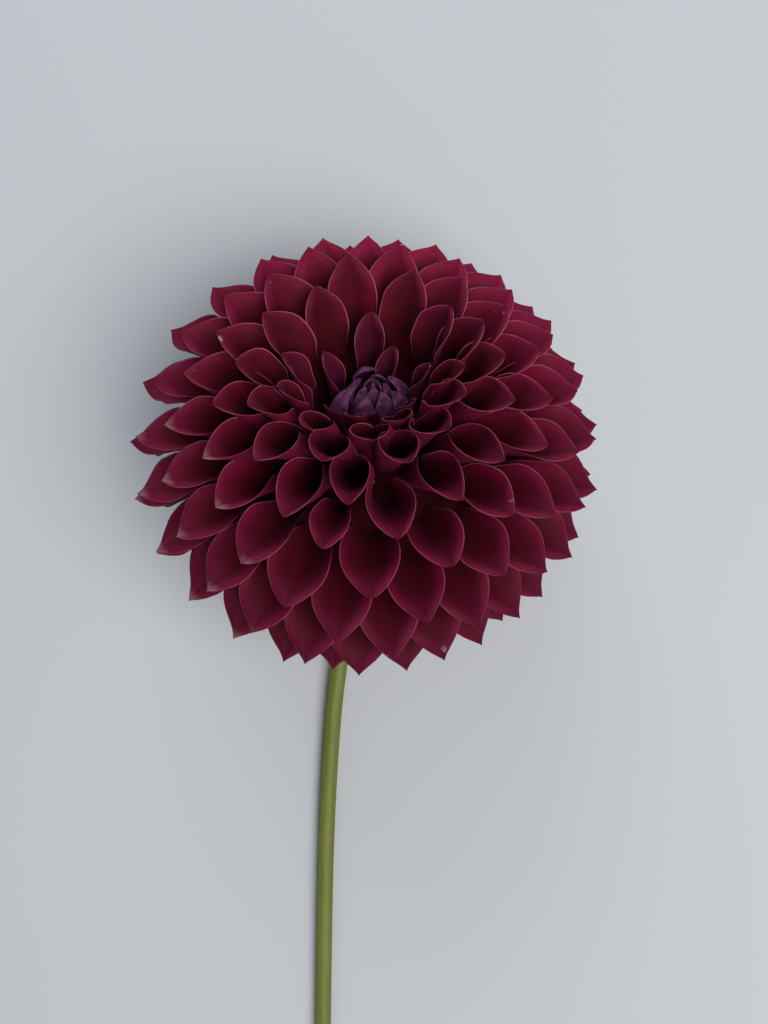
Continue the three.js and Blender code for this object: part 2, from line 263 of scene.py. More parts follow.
class Tree:
    """Adds nodes to a shader or geometry tree."""

    def __init__(self, tree):
        self.tree = tree

    def node(self, kind, settings=None, sockets=None):
        """One node: settings are its own properties, sockets its values or links."""
        node = self.tree.nodes.new(kind)
        for key, value in (settings or {}).items():
            setattr(node, key, value)
        for key, value in (sockets or {}).items():
            socket = node.inputs[key]
            if isinstance(value, Term):
                self.tree.links.new(value.socket, socket)
            else:
                socket.default_value = value
        return node

    def term(self, kind, settings=None, sockets=None, out=0):
        return Term(self, self.node(kind, settings, sockets).outputs[out])

    def maths(self, operation, *values):
        settings = {"operation": operation}
        return self.term("ShaderNodeMath", settings, dict(enumerate(values)))

    def sine(self, angle):
        return self.maths("SINE", angle)

    def cosine(self, angle):
        return self.maths("COSINE", angle)

    def least(self, a, b):
        return self.maths("MINIMUM", a, b)

    def most(self, a, b):
        return self.maths("MAXIMUM", a, b)

    def halved(self, wave):
        """A wave from -1 to 1 as one from 0 to 1."""
        return wave * 0.5 + 0.5

    def between(self, low, high, share):
        return low + (high - low) * share

    def smooth(self, value, low, high):
        """0 where value is under low, 1 over high, and smooth between."""
        settings = {"interpolation_type": "SMOOTHSTEP"}
        sockets = {"Value": value, "From Min": low, "From Max": high}
        return self.term("ShaderNodeMapRange", settings, sockets)

    def vector(self, x, y, z):
        return self.term("ShaderNodeCombineXYZ", None, {0: x, 1: y, 2: z})

    def split(self, vector):
        parts = self.node("ShaderNodeSeparateXYZ", None, {0: vector})
        return [Term(self, socket) for socket in parts.outputs]


class ShaderTree(Tree):
    """Adds nodes to a material, and knows the flower's colours by name."""

    base = None  # the base colour, as far as it is painted

    def attribute(self, name):
        return self.term("ShaderNodeAttribute", {"attribute_name": name}, out="Fac")

    def coordinates(self):
        return self.term("ShaderNodeTexCoord", out="Object")

    def colour(self, name):
        return tuple(getattr(bpy.context.scene.dahlia_colours, name))

    def mix(self, share, a, b):
        settings = {"data_type": "RGBA", "clamp_factor": True}
        return self.term("ShaderNodeMix", settings, {0: share, 6: a, 7: b}, out=2)

    def start(self, share, low, high):
        """Begins the base colour between two named ones."""
        self.base = self.mix(share, self.colour(low), self.colour(high))

    def over(self, share, name):
        """Lays this share of a named colour over the base colour."""
        self.base = self.mix(share, self.base, self.colour(name))

    def noise(self, scale, detail=2.0, roughness=0.5, at=None):
        """Noise over the object's own coordinates, or at another vector."""
        sockets = {
            "Vector": at or self.coordinates(), "Scale": scale, "Detail": detail,
            "Roughness": roughness,
        }
        return self.term("ShaderNodeTexNoise", None, sockets, out="Fac")

    def bump(self, height, strength, distance):
        sockets = {"Strength": strength, "Distance": distance, "Height": height}
        return self.term("ShaderNodeBump", None, sockets)


# ---- blades by rule
# The inputs: whole numbers, those that are sizes of the flower, and the others with
# what they are for the petals.
COUNTS = ["Count", "First", "Columns", "Rows"]
SIZE_INPUTS = [
    "Tip Radius", "Tip Depth", "Well Depth", "Length Inner", "Length Outer", "Curve Inner",
    "Curve Outer", "Wrap Inner", "Wrap Outer", "Tip Lean Outer", "Thickness",
]
RAY_INPUTS = {
    "Inner": -38.0, "Turn": GOLDEN_TURN, "Start": ROSETTE_START,
    "Polar": 44.1 * DEG, "Step": 0.725 * DEG,
    "Well Edge": 30 * DEG, "Growth": 75.0,
    "Root Lean": -6 * DEG, "Back From": 95 * DEG,
    "Tip Lean Inner": -12 * DEG, "Widest At": 0.55, "Claw Width": 0.54,
    "Point Power": 1.75, "Sharpness": 1.15, "Open At": 0.85, "Claw Roll": 0.36,
    "Crease": 0.25 * MM, "Beak": 0.5 * MM, "Ruffle": 0.2 * MM, "Flare": 0.16,
    "Lip From": 0.5, "Keel": 0.4, "Smallest": 0.5, "Small Until": 15.0, "Unevenness": 1.0,
    "Aside": 0.0, "Out Of Round": 1.0, "Opening": 1.0, "Closing": 1.0,
}


class RosetteTree(Tree):
    """A modifier's tree that stands pointed, rolled blades on the head by their number.

    Each blade starts as a grid whose columns run over the inner face from one
    margin to the other and back over the outer face. Its place then follows
    from the blade's number, the share of its length and the share of its width.
    """

    def __init__(self):
        super().__init__(bpy.data.node_groups.new("Blade rosette", "GeometryNodeTree"))
        self.tree.is_modifier = True
        inputs = [("Geometry", "Geometry"), ("Material", "Material")]
        inputs += [(label, "Int") for label in COUNTS]
        inputs += [(label, "Float") for label in (*SIZE_INPUTS, *RAY_INPUTS)]
        face = self.tree.interface
        for label, kind in inputs:
            face.new_socket(name=label, in_out="INPUT", socket_type="NodeSocket" + kind)
        face.new_socket(name="Geometry", in_out="OUTPUT", socket_type="NodeSocketGeometry")
        self.entry = self.tree.nodes.new("NodeGroupInput")
        self.number = self.attribute("floret")
        self.along = self.attribute("along")
        self.across = self.attribute("across")
        self.even = self.given("Start") + self.given("Turn") * self.number
        age = (self.given("Inner") - self.number) / self.given("Growth")
        self.growth = 1 - self.maths("EXPONENT", age)
        self.states = self.blade_states()
        points = self.term("GeometryNodePoints", None, {"Count": self.given("Count")})
        number = self.term("GeometryNodeInputIndex") + self.given("First")
        sockets = {"Points": self.store(points, "floret", number), "Instance": self.flat_blade()}
        blades = self.term("GeometryNodeInstanceOnPoints", None, sockets)
        for kind, sockets in (
            ("GeometryNodeRealizeInstances", {}),
            ("GeometryNodeSetPosition", {"Position": self.blade_place()}),
            ("GeometryNodeMergeByDistance", {"Distance": SAME_POINT}),
            ("GeometryNodeFlipFaces", {}),
            ("GeometryNodeSetShadeSmooth", {}),
            ("GeometryNodeSetMaterial", {"Material": self.given("Material")}),
        ):
            blades = self.term(kind, None, {0: blades, **sockets})
        self.node("NodeGroupOutput", None, {"Geometry": blades})

    def given(self, label):
        return Term(self, self.entry.outputs[label])

    def attribute(self, name):
        settings = {"data_type": "FLOAT"}
        return self.term("GeometryNodeInputNamedAttribute", settings, {"Name": name})

    def store(self, geometry, name, value):
        settings = {"data_type": "FLOAT", "domain": "POINT"}
        sockets = {"Geometry": geometry, "Name": name, "Value": value}
        return self.term("GeometryNodeStoreNamedAttribute", settings, sockets)

    def flat_blade(self):
        """A grid with the numbers that every point of a blade carries."""
        grid = self.term("GeometryNodeMeshGrid", None, {
            "Size X": 1.0, "Size Y": 1.0,
            "Vertices X": self.given("Columns"), "Vertices Y": self.given("Rows"),
        })
        x, y, _ = self.split(self.term("GeometryNodeInputPosition"))
        around, up = x + 0.5, y + 0.5
        folded = 1 - 4 * (0.5 - around).maths("ABSOLUTE")  # -1, 1 at half way, -1
        grid = self.store(grid, "across", self.sine(folded * (math.pi / 2)))
        grid = self.store(grid, "inner", around.maths("LESS_THAN", INNER_FACE_COLUMNS))
        return self.store(grid, "along", 1 - (1 - up) ** ROW_CROWDING)

    def wobble(self, what):
        """How much a blade has of this wobble: another value for each number."""
        rate, phase, amount = WOBBLES[what]
        return self.sine(self.number * rate + phase) * self.given("Unevenness") * amount

    def grown(self, label):
        """The input for a blade of this number, from the inner to the outer value."""
        return self.between(self.given(label + " Inner"), self.given(label + " Outer"), self.growth)

    def only(self, floret):
        """1 for the blade of this number, else 0."""
        return self.maths("COMPARE", self.number, float(floret), 0.5)

    def after(self, florets):
        """0 for the blades before these florets, 1 for those after them."""
        return self.smooth(self.number, *florets)

    def facing(self, azimuth):
        """1 for the blades that stand this way from the axis, 0 for the opposite."""
        return self.halved(self.cosine(self.even - azimuth))

    def waves(self, rows):
        """What the rows add at the blade's even azimuth, in radians."""
        total = 0.0
        for count, degrees, crest in rows:
            wave = self.cosine(self.even * count - math.radians(crest))
            total = total + wave * math.radians(degrees)
        return total

    def blade_states(self):
        """How far a blade is in each state, from 0 to 1.

        Round the heart, the rolls on the far side have opened and those on the near
        side, towards -Y, are still closed and flattened. The youngest lean on the
        heart. Those to the lower left are pushed out, and the back ones are flat.
        """
        far = self.halved(self.sine(self.even))
        uneven, opening, closing = map(self.given, ("Out Of Round", "Opening", "Closing"))
        youngest = (1 - self.after(YOUNGEST_END)) * uneven
        opened = far * (1 - self.after(OPENED_END)) * opening
        pushed = self.facing(PUSHED_TOWARDS) ** PUSHED_POWER * closing
        return {
            "far": far,
            "youngest": youngest,
            "opened": opened * (1 - YOUNGEST_KEEP_SHUT * youngest),
            "closed": (1 - far) * (1 - self.after(CLOSED_END)) * closing,
            "flattened": (1 - far) * (1 - self.after(FLATTENED_END)) * closing,
            "pushed": pushed * self.after(PUSHED_START) * (1 - self.after(PUSHED_END)),
            "flat": self.after(FLAT_START) * opening,
            "rounded": self.facing(ROUNDED_TOWARDS) ** ROUNDED_POWER,
            "stunted": self.only(SMALL_FLORET) * closing,
        }

    def changed(self, value, changes):
        for state, share in changes.items():
            value = value * (1 + share * self.states[state])
        return value

    def blade_place(self):
        """Where a point of a blade lies: from the midrib's plane to the head."""
        azimuth, polar = self.stance()
        out, height, heading = self.midrib(polar)
        lift, side = self.section()
        reach = out - lift * self.cosine(heading)
        height = height + lift * self.sine(heading)
        x = reach * self.cosine(azimuth) - side * self.sine(azimuth) + self.given("Aside")
        y = reach * self.sine(azimuth) + side * self.cosine(azimuth)
        return self.pressed_place(x, y, height)

    def stance(self):
        """The azimuth and the polar angle of a blade's tip."""
        given, states = self.given, self.states
        azimuth = self.even + self.waves(HEAD_SWING) * given("Out Of Round")
        azimuth = azimuth + self.wobble("azimuth")
        polar = given("Polar") + given("Step") * self.number
        polar = polar + self.waves(HEAD_TILT) * given("Out Of Round") + self.wobble("polar")
        for odd, swing, tilt in ODD_FLORETS:
            share = self.only(odd) * given("Out Of Round")
            azimuth = azimuth + share * math.radians(swing)
            polar = polar + share * math.radians(tilt)
        polar = polar + states["pushed"] * PUSHED_TILT - states["stunted"] * STUNTED_TILT
        return azimuth, polar

    def midrib(self, polar):
        """How far out and along the axis the midrib is, and which way it heads.

        It is an arc that ends at the blade's tip.
        """
        given, far, youngest = self.given, self.states["far"], self.states["youngest"]
        well = self.most(0.0, 1 - polar / given("Well Edge")) ** WELL_POWER
        tip_out = given("Tip Radius") * self.sine(polar) - youngest * far * YOUNGEST_LEAN_IN
        tip_height = given("Tip Depth") * self.cosine(polar) - given("Well Depth") * well
        tip_height = tip_height - youngest * self.between(*YOUNGEST_SINK, far)
        root_turn = polar + given("Root Lean") - self.most(0.0, polar - given("Back From"))
        tip_turn = polar + self.grown("Tip Lean") + self.wobble("tip lean")
        length = self.changed(self.grown("Length") * (1 + self.wobble("length")), LENGTH_CHANGES)
        bend = tip_turn - root_turn
        heading = root_turn + bend * self.along
        radius = length / bend
        out = tip_out - radius * (self.cosine(heading) - self.cosine(tip_turn))
        height = tip_height - radius * (self.sine(tip_turn) - self.sine(heading))
        return out, height, heading

    def narrowing(self):
        """The share of the roll that a blade has towards its claw and its keel."""
        given, states = self.given, self.states
        claw_roll = self.between(given("Claw Roll"), OPENED_CLAW, states["opened"])
        claw_roll = claw_roll + CLOSED_CLAW * states["closed"]
        narrowed = self.between(claw_roll, 1.0, self.smooth(self.along, 0.0, given("Open At")))
        keel = given("Keel") * (1 - FAR_KEEL * states["far"])
        keel = keel * (1 - OUTER_KEEL * self.after(KEEL_FADES))
        return narrowed * (1 - keel * self.smooth(self.along, *KEEL_SPAN))

    def rolled(self, narrowed):
        """The radius of a blade's roll."""
        given, opened = self.given, self.states["opened"]
        full = self.smooth(self.number - given("Inner"), GROWTH_LEAD, given("Small Until"))
        smallest = self.between(given("Smallest"), 1.0, opened * OPENED_GROWN)
        full = self.between(smallest, 1.0, full)
        roll = self.grown("Curve") * (1 + self.wobble("roll")) * full * narrowed
        return self.changed(roll, ROLL_CHANGES)

    def wrapped(self, narrowed):
        """Half the angle that a blade's roll goes round, which ends in a point."""
        given, widest = self.given, self.given("Widest At")
        pointed = self.most(0.0, (self.along - widest) / (1 - widest))
        eased = self.sine(self.least(1.0, self.along / widest) * (math.pi / 2))
        blunt = given("Point Power") + ROUNDED_POINT * self.states["rounded"]
        spread = self.between(given("Claw Width"), 1.0, eased)
        spread = spread * (1 - pointed ** blunt) ** given("Sharpness")
        wrap = self.grown("Wrap") * (1 + self.wobble("wrap")) * spread
        return self.changed(wrap / narrowed ** NARROW_WRAP_POWER, WRAP_CHANGES)

    def section(self):
        """How far a point is over the midrib and beside it.

        The section is an arc. Its two faces meet at the margins and the root, and
        all its points at the tip.
        """
        given, closed = self.given, self.states["closed"]
        along, across = self.along, self.across
        width = across.maths("ABSOLUTE")
        narrowed = self.narrowing()
        roll = self.rolled(narrowed)
        angle = across * self.least(self.wrapped(narrowed), WIDEST_WRAP)
        tapered = self.smooth(1 - along, 0.0, FACES_MEET_AT_TIP)
        thickness = given("Thickness") * (1 - width ** MARGIN_THINNING)
        thickness = thickness * self.attribute("inner") * tapered
        thickness = thickness * self.smooth(along, 0.0, FACES_MEET_AT_ROOT)
        inset = 1 - LAP_DEPTH * closed * self.smooth(across, *LAP_SPAN) * tapered
        lip = self.most(0.0, width - given("Lip From")) / (1 - given("Lip From"))
        flare = given("Flare") * roll * lip * lip * (1 - closed) * tapered
        reach = (roll - thickness + flare) * inset
        lift = self.changed(roll - reach * self.cosine(angle), LIFT_CHANGES)
        side = self.changed(reach * self.sine(angle), SIDE_CHANGES)
        crease = self.maths("EXPONENT", -CREASE_SHARPNESS * across * across)
        lift = lift - given("Crease") * tapered * crease
        hooked = BEAK_PLAIN + BEAK_CLOSED * closed + self.wobble("beak")
        lift = lift - given("Beak") * self.smooth(along, *BEAK_SPAN) * hooked
        by_length, by_number, by_width = RIPPLES
        ripple = self.sine(along * by_length + self.number * by_number + across * by_width)
        ripple = ripple * width ** RIPPLE_POWER * self.smooth(1 - along, 0.0, RIPPLE_FADES)
        return lift + given("Ruffle") * ripple, side

    def pressed_place(self, x, y, z):
        """The place on the lying head of a point of the upright one."""
        cos, sin = math.cos(HEAD_LEAN), math.sin(HEAD_LEAN)
        world_y = y * cos + z * sin + HEAD_CENTRE.y
        world_z = z * cos - y * sin + HEAD_CENTRE.z
        low = PRESS_FROM - (PRESS_FROM - world_z) * (PRESS_FROM / (PRESS_FROM + PRESS_SINK))
        under = world_z.maths("LESS_THAN", PRESS_FROM)
        world_z = self.most(low * under + world_z * (1 - under), FLOOR_CLEARANCE)
        return self.vector(x + HEAD_CENTRE.x, world_y, world_z)


def plain_object(name, data):
    thing = bpy.data.objects.new(name, data)
    bpy.context.scene.collection.objects.link(thing)
    return thing


def grown_object(name, tree, values):
    """What a tree makes with these inputs, as a plain mesh object."""
    carrier = plain_object(name + "_rule", bpy.data.meshes.new(name + "_rule"))
    modifier = carrier.modifiers.new("rule", "NODES")
    modifier.node_group = tree.tree
    items = modifier.node_group.interface.items_tree
    keys = {item.name: item.identifier for item in items if item.in_out == "INPUT"}
    for label, value in values.items():
        modifier[keys[label]] = value
    bpy.context.view_layer.update()
    depsgraph = bpy.context.evaluated_depsgraph_get()
    mesh = bpy.data.meshes.new_from_object(carrier.evaluated_get(depsgraph))
    bpy.data.objects.remove(carrier)
    if not mesh.polygons:
        raise RuntimeError(name + " came out empty")
    mesh.name = name
    return plain_object(name, mesh)


def finish_piece(piece, slot, *nodes):
    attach(piece, BODY)
    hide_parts(*nodes)


def head_point(out, along, azimuth=0.0):
    """A point of the head: out from its axis, along it, and round it."""
    point = Vector((out * math.cos(azimuth), out * math.sin(azimuth), along))
    return HEAD_CENTRE + TURN_TO_HEAD @ point


# ---- materials
def petal_paint(tree):
    """Dark crimson, browner by the heart, with painted light on the far side of the head and painted
    shade on the near side.
    """
    across, along = tree.attribute("across"), tree.attribute("along")
    number, inner = tree.attribute("floret"), tree.attribute("inner")
    width = across.maths("ABSOLUTE")
    azimuth = number * GOLDEN_TURN + ROSETTE_START
    far = tree.halved(tree.sine(azimuth))
    outer = tree.smooth(number + far * OUTER_LEAD, *OUTER_FROM)
    less_inside = tree.halved(outer)
    tree.start(outer, "petal_inner", "petal_outer")
    cloud = tree.smooth(tree.noise(CLOUD_SCALE, detail=3.0), *CLOUDED)
    tree.over(cloud * CLOUD, "petal_bright")
    # Each blade has its own tone.
    tree.over(tree.halved(tree.sine(number * TONE_RATE)) * TONE, "petal_deep")
    # The outer petals have painted shade on the near side, and painted light on the far side.
    shaded = (1 - far) ** 2 * tree.smooth(number, *SHADED_FROM)
    tree.over(shaded * SHADED, "petal_painted_shade")
    light = far ** 3 * tree.smooth(number, *PAINTED_LIGHT_FROM)
    tree.over(light * LIGHT, "petal_painted_light")
    # Painted shade makes the floor of the roll browner than its walls and the claw darker, and the
    # walls get a painted highlight.
    floor = (1 - tree.smooth(width, *FLOOR_UNTIL)) * tree.smooth(1 - along, *FLOOR_ENDS)
    tree.over(floor * ROLL_FLOOR, "petal_deep")
    # A painted highlight on the walls of the roll.
    wall = tree.smooth(width, *WALL_OUT) * tree.smooth(along, *WALL_FROM)
    wall = wall * (WALL - WALL_LESS_SHADED * shaded) * less_inside
    tree.over(wall, "petal_bright")
    # Painted shade at the claw, deep in the head.
    tree.over((1 - tree.smooth(along, *CLAW_SHADE_UNTIL)) * CLAW, "petal_claw_shade")
    veins = tree.noise(*VEIN_NOISE, at=blade_vector(tree, VEIN_RATES))
    tree.over(tree.smooth(veins, *VEINED) * VEINS, "petal_deep")
    tinted = tree.smooth(along, *TIP_FROM) * (TINT - TINT_LESS_PAINTED_LIGHT * light) * less_inside
    tree.over(tinted, "petal_tip")
    # The youngest, next to the heart, are still purple.
    youth = 1 - tree.smooth(number, *YOUNG_UNTIL)
    youth = youth * (YOUNG - YOUNG_LESS_TIP * along * inner)
    tree.over(youth, "petal_young")
    # The back of the blade is duller.
    tree.over((1 - inner) * BACK, "petal_back")
    # A painted highlight along the thin margin, where the edge catches light.
    rim = tree.smooth(width, *RIM_OUT) * tree.smooth(along, *RIM_FROM)
    rim = rim * (RIM - RIM_LESS_OUTER * tree.smooth(number, *RIM_FADES))
    tree.over(rim, "petal_margin_highlight")
    # Tips on the lower left have dried, and a few others have pale flecks.
    turned = tree.cosine(azimuth - WORN_TOWARDS)
    dried = tree.smooth(turned, *WORN_TURN) * tree.smooth(number, *DRIED_FROM)
    dried = dried * tree.smooth(veins, *DRIED_VEINS) * tree.smooth(along, *DRIED_TIP)
    fleck = tree.smooth(tree.noise(FLECK_SCALE), *FLECKED)
    worn = tree.smooth(tree.sine(number * WORN_RATE), *WORN_FLORETS)
    worn = worn * tree.smooth(along, *WORN_TIP)
    tree.over(tree.most(dried, fleck * worn) * DRIED, "petal_dry")
    grain = tree.noise(GRAIN_SCALE)
    bump = tree.bump(veins * 0.8 + grain * 0.2, strength=0.5, distance=0.3 * MM)
    return {"Roughness": 0.44 + 0.2 * grain, "Normal": bump}


def blade_vector(tree, rates):
    """Where a noise is read so that it runs along a blade, and differs in each."""
    by_width, by_length, by_number = rates
    number = tree.attribute("floret")
    x = tree.attribute("across") * by_width + number
    return tree.vector(x, tree.attribute("along") * by_length, number * by_number)


def heart_paint(tree):
    """Dull purple, with painted lilac highlights on the edges and tips."""
    width, along = tree.attribute("across").maths("ABSOLUTE"), tree.attribute("along")
    tone = tree.halved(tree.sine(tree.attribute("floret") * HEART_TONE_RATE))
    tree.start(tone * 0.5, "heart", "heart_deep")
    ridge = tree.noise(700.0)
    # Painted highlights on the ridges towards the tips, and along the edges.
    lit = tree.smooth(along, 0.35, 0.95) * 0.55 * tree.smooth(ridge, 0.35, 0.7)
    tree.over(lit, "heart_edge_highlight")
    tree.over(tree.smooth(width, 0.9, 0.99) * 0.6, "heart_edge_highlight")
    bump = tree.bump(ridge, strength=0.3, distance=0.2 * MM)
    return {"Roughness": 0.5 + 0.15 * ridge, "Normal": bump}


def core_paint(tree):
    """Nearly black crimson: the packed claws with painted shade, deep between the petals."""
    cloud = tree.noise(300.0, detail=3.0)
    tree.start(cloud, "core", "petal_claw_shade")
    return {"Roughness": 0.8 + 0.1 * cloud}


def green_paint(tree):
    """Green with streaks, brownish clouds, reddish freckles, and pith at a cut."""
    along, pith = tree.attribute("along"), tree.attribute("pith")
    tree.start(along, "stem_top", "stem_low")
    x, y, z = tree.split(tree.coordinates())
    round_it, along_it = 1500, 70  # the streaks are long and thin
    stretched = tree.vector(x * round_it, y * along_it, z * round_it)
    streaks = tree.noise(1.0, detail=3.0, at=stretched)
    tree.over(tree.smooth(streaks, 0.4, 0.75) * 0.45, "stem_streak")
    cloud = tree.noise(140.0, detail=3.0)
    tree.over(tree.smooth(cloud, 0.5, 0.8) * 0.4, "stem_brown")
    freckle = tree.smooth(tree.noise(1300.0, detail=1.0), 0.66, 0.72)
    tree.over(freckle * 0.4, "petal_back")
    tree.over(tree.smooth(pith, 0.5, 0.9), "pith")
    hollow = tree.smooth(pith, 0.2, 0.3) * (1 - tree.smooth(pith, 0.3, 0.6))
    tree.over(hollow, "stem_brown")
    bump = tree.bump(streaks + 0.3 * cloud, strength=0.3, distance=0.3 * MM)
    return {"Roughness": 0.42 + 0.2 * cloud, "Normal": bump}


def papery_paint(tree):
    """Straw coloured, green at the root, with brown veins."""
    ripe = tree.smooth(tree.attribute("along"), 0.2, 0.9)
    tree.start(ripe, "stem_top", "papery")
    veins = tree.noise(3.0, detail=3.0, at=blade_vector(tree, PAPERY_VEIN_RATES))
    tree.over(tree.smooth(veins, 0.5, 0.7) * 0.5, "stem_brown")
    bump = tree.bump(veins, strength=0.4, distance=0.2 * MM)
    return {"Roughness": 0.55 + 0.2 * veins, "Normal": bump}


def floor_paint(tree):
    """Pale grey with wide clouds."""
    tree.base = tree.mix(tree.noise(6.0) * 0.3, *FLOOR_COLOURS)
    return {}


# What paints each material, and the values that don't vary over it.
GREEN = {"Specular IOR Level": 0.25}
MATERIALS = {
    "velvety_petal": (petal_paint, {
        "Sheen Weight": 0.05, "Sheen Roughness": 0.4, "Sheen Tint": (1.0, 0.12, 0.4, 1.0),
        "Specular IOR Level": 0.055,
    }),
    "closed_purple_floret": (heart_paint, {
        "Sheen Weight": 0.06, "Sheen Roughness": 0.4, "Sheen Tint": (0.8, 0.5, 0.9, 1.0),
        "Specular IOR Level": 0.1,
    }),
    "packed_claws": (core_paint, {"Specular IOR Level": 0.02}),
    "fleshy_cup": (green_paint, GREEN),
    "fleshy_bract": (green_paint, GREEN),
    "ribbed_stalk": (green_paint, GREEN),
    "papery_scale": (papery_paint, GREEN),
    "pale_floor": (floor_paint, {"Roughness": 0.85}),
}


def new_material(name):
    paint, constants = MATERIALS[name]
    material = bpy.data.materials.new(name)
    material.use_nodes = True
    shader = material.node_tree.nodes["Principled BSDF"]
    for label, value in constants.items():
        shader.inputs[label].default_value = value
    tree = ShaderTree(material.node_tree)
    others = paint(tree)
    for label, term in {"Base Color": tree.base, **others}.items():
        material.node_tree.links.new(term.socket, shader.inputs[label])
    return material


# ---- properties
def size_property(label, text, default):
    return bpy.props.FloatProperty(name=label, description=text, default=default, unit="LENGTH")


def angle_property(label, text, degrees):
    return bpy.props.FloatProperty(
        name=label, description=text, default=math.radians(degrees), subtype="ANGLE",
    )


def colour_property(label, text, *default):
    return bpy.props.FloatVectorProperty(
        name=label, description=text, default=(*default, 1.0), size=4, subtype="COLOR",
        min=0.0, max=1.0,
    )


class DahliaSizes(bpy.types.PropertyGroup):
    tip_radius: size_property("Tip radius", "Ball of petal tips, across the axis", 50.1 * MM)
    tip_depth: size_property("Tip depth", "Ball of petal tips, along the axis", 40 * MM)
    well_depth: size_property("Well depth", "How far the tips sink round the heart", 23.8 * MM)
    length_inner: size_property("Inner petal", "Length of the innermost open petals", 20 * MM)
    length_outer: size_property("Outer petal", "Length of the outer petals", 26.5 * MM)
    curve_inner: size_property("Inner roll", "Radius of the innermost rolls", 3.0 * MM)
    curve_outer: size_property("Outer roll", "Radius of the outer rolls", 5.6 * MM)
    wrap_inner: angle_property("Inner wrap", "Half the innermost roll", 132)
    wrap_outer: angle_property("Outer wrap", "Half the outer roll", 81)
    thickness: size_property("Thickness", "Thickness of a petal", 0.45 * MM)
    tip_lean_outer: angle_property("Tip lean", "How far the outer tips lean out", 24)


class DahliaColours(bpy.types.PropertyGroup):
    petal_inner: colour_property("Inner petal", "Petals next to the heart", 0.05, 0.0055, 0.0085)
    petal_outer: colour_property("Outer petal", "Petals on the ball", 0.083, 0.0028, 0.0142)
    # The bright crimson is also a painted highlight on the walls of the roll.
    petal_bright: colour_property("Bright crimson", "Lighter clouds", 0.135, 0.003, 0.0265)
    # The deep crimson is also painted shade on the floor of the roll.
    petal_deep: colour_property("Deep crimson", "Veins and darker petals", 0.043, 0.0022, 0.0056)
    # The claw's colour is painted shade, deep in the head.
    petal_claw_shade: colour_property("Claw", "Deep in the roll", 0.03, 0.002, 0.004)
    petal_back: colour_property("Back", "Outer face of a petal", 0.105, 0.0046, 0.0255)
    # The near side's colour is painted shade.
    petal_painted_shade: colour_property("Near side", "Outer petals on the near side", 0.05, 0.0024, 0.0092)
    petal_tip: colour_property("Tip", "Cooler crimson of the tips", 0.094, 0.0042, 0.0225)
    # The far side's colour is painted light.
    petal_painted_light: colour_property("Far side", "Outer petals on the far side", 0.26, 0.0095, 0.046)
    # The margin's colour is a painted highlight.
    petal_margin_highlight: colour_property("Margin", "Thin edge of a petal", 0.3, 0.085, 0.115)
    petal_dry: colour_property("Dried tip", "Worn flecks on a few tips", 0.45, 0.3, 0.33)
    # The core's colour is painted shade, deep between the petals.
    core: colour_property("Core", "Packed claws between the petals", 0.01, 0.0015, 0.003)
    petal_young: colour_property("Youngest petal", "Half-open florets", 0.055, 0.0065, 0.028)
    heart: colour_property("Heart", "Closed florets", 0.062, 0.013, 0.044)
    heart_deep: colour_property("Heart, deep", "Darker closed florets", 0.032, 0.006, 0.023)
    # The heart's edge colour is a painted highlight.
    heart_edge_highlight: colour_property("Heart, edge", "Lilac edges of the closed florets", 0.22, 0.075, 0.17)
    stem_top: colour_property("Stem, top", "Stalk under the head", 0.12, 0.14, 0.014)
    stem_low: colour_property("Stem, low", "Stalk towards the cut", 0.105, 0.12, 0.02)
    stem_streak: colour_property("Stem streak", "Streaks along the stalk", 0.16, 0.18, 0.03)
    stem_brown: colour_property("Stem brown", "Brownish clouds on the stalk", 0.09, 0.08, 0.018)
    pith: colour_property("Pith", "Pale pith of the cut end", 0.5, 0.53, 0.3)
    papery: colour_property("Papery scale", "Thin inner scales of the cup", 0.26, 0.2, 0.08)


# ---- inputs of blades
# For blades that stand round the axis alike, whichever way they face.
ALL_ROUND = {"Out Of Round": 0.0, "Opening": 0.0, "Closing": 0.0}


def ray_values(sizes):
    """The petals' inputs. A size has the name of its input."""
    named = {label: getattr(sizes, label.lower().replace(" ", "_")) for label in SIZE_INPUTS}
    return {**RAY_INPUTS, **named}


def heart_values(sizes):
    """The closed florets' inputs, where they differ from the petals'."""
    return {
        **ray_values(sizes), **ALL_ROUND,
        "First": -57, "Count": 14, "Inner": -57.0, "Growth": 9.0, "Aside": 2.2 * MM,
        "Polar": 58.4 * DEG, "Step": 1.0 * DEG,
        "Tip Radius": 16 * MM, "Tip Depth": 22.6 * MM,
        "Well Depth": 0.0, "Well Edge": 18 * DEG,
        "Length Inner": 13 * MM, "Length Outer": 20 * MM,
        "Curve Inner": 1.7 * MM, "Curve Outer": 3.4 * MM, "Smallest": 1.0,
        "Wrap Inner": 110 * DEG, "Wrap Outer": 78 * DEG, "Open At": 0.4,
        "Root Lean": 30 * DEG, "Back From": 170 * DEG,
        "Tip Lean Inner": -20 * DEG, "Tip Lean Outer": -100 * DEG,
        "Thickness": 0.5 * MM, "Claw Width": 0.6, "Claw Roll": 0.7, "Flare": 0.0,
        "Widest At": 0.45, "Crease": 0.1 * MM, "Beak": 0.0, "Ruffle": 0.05 * MM,
        "Point Power": 2.2, "Sharpness": 1.0, "Columns": 21, "Rows": 18,
    }


def leaf_values(polar, turns, tip, alike):
    """Inputs for leaves behind the head: the turns are of the midrib, root and tip.

    The tip is out from the axis and along it, and alike are the inputs that have
    an inner and an outer value, which is the same for leaves.
    """
    alike = {**alike, "Tip Lean": turns[1] - polar}
    return {
        **{label + end: value for label, value in alike.items() for end in (" Inner", " Outer")},
        "Polar": polar, "Root Lean": turns[0] - polar,
        "Tip Radius": tip[0] / math.sin(polar), "Tip Depth": tip[1] / math.cos(polar),
    }


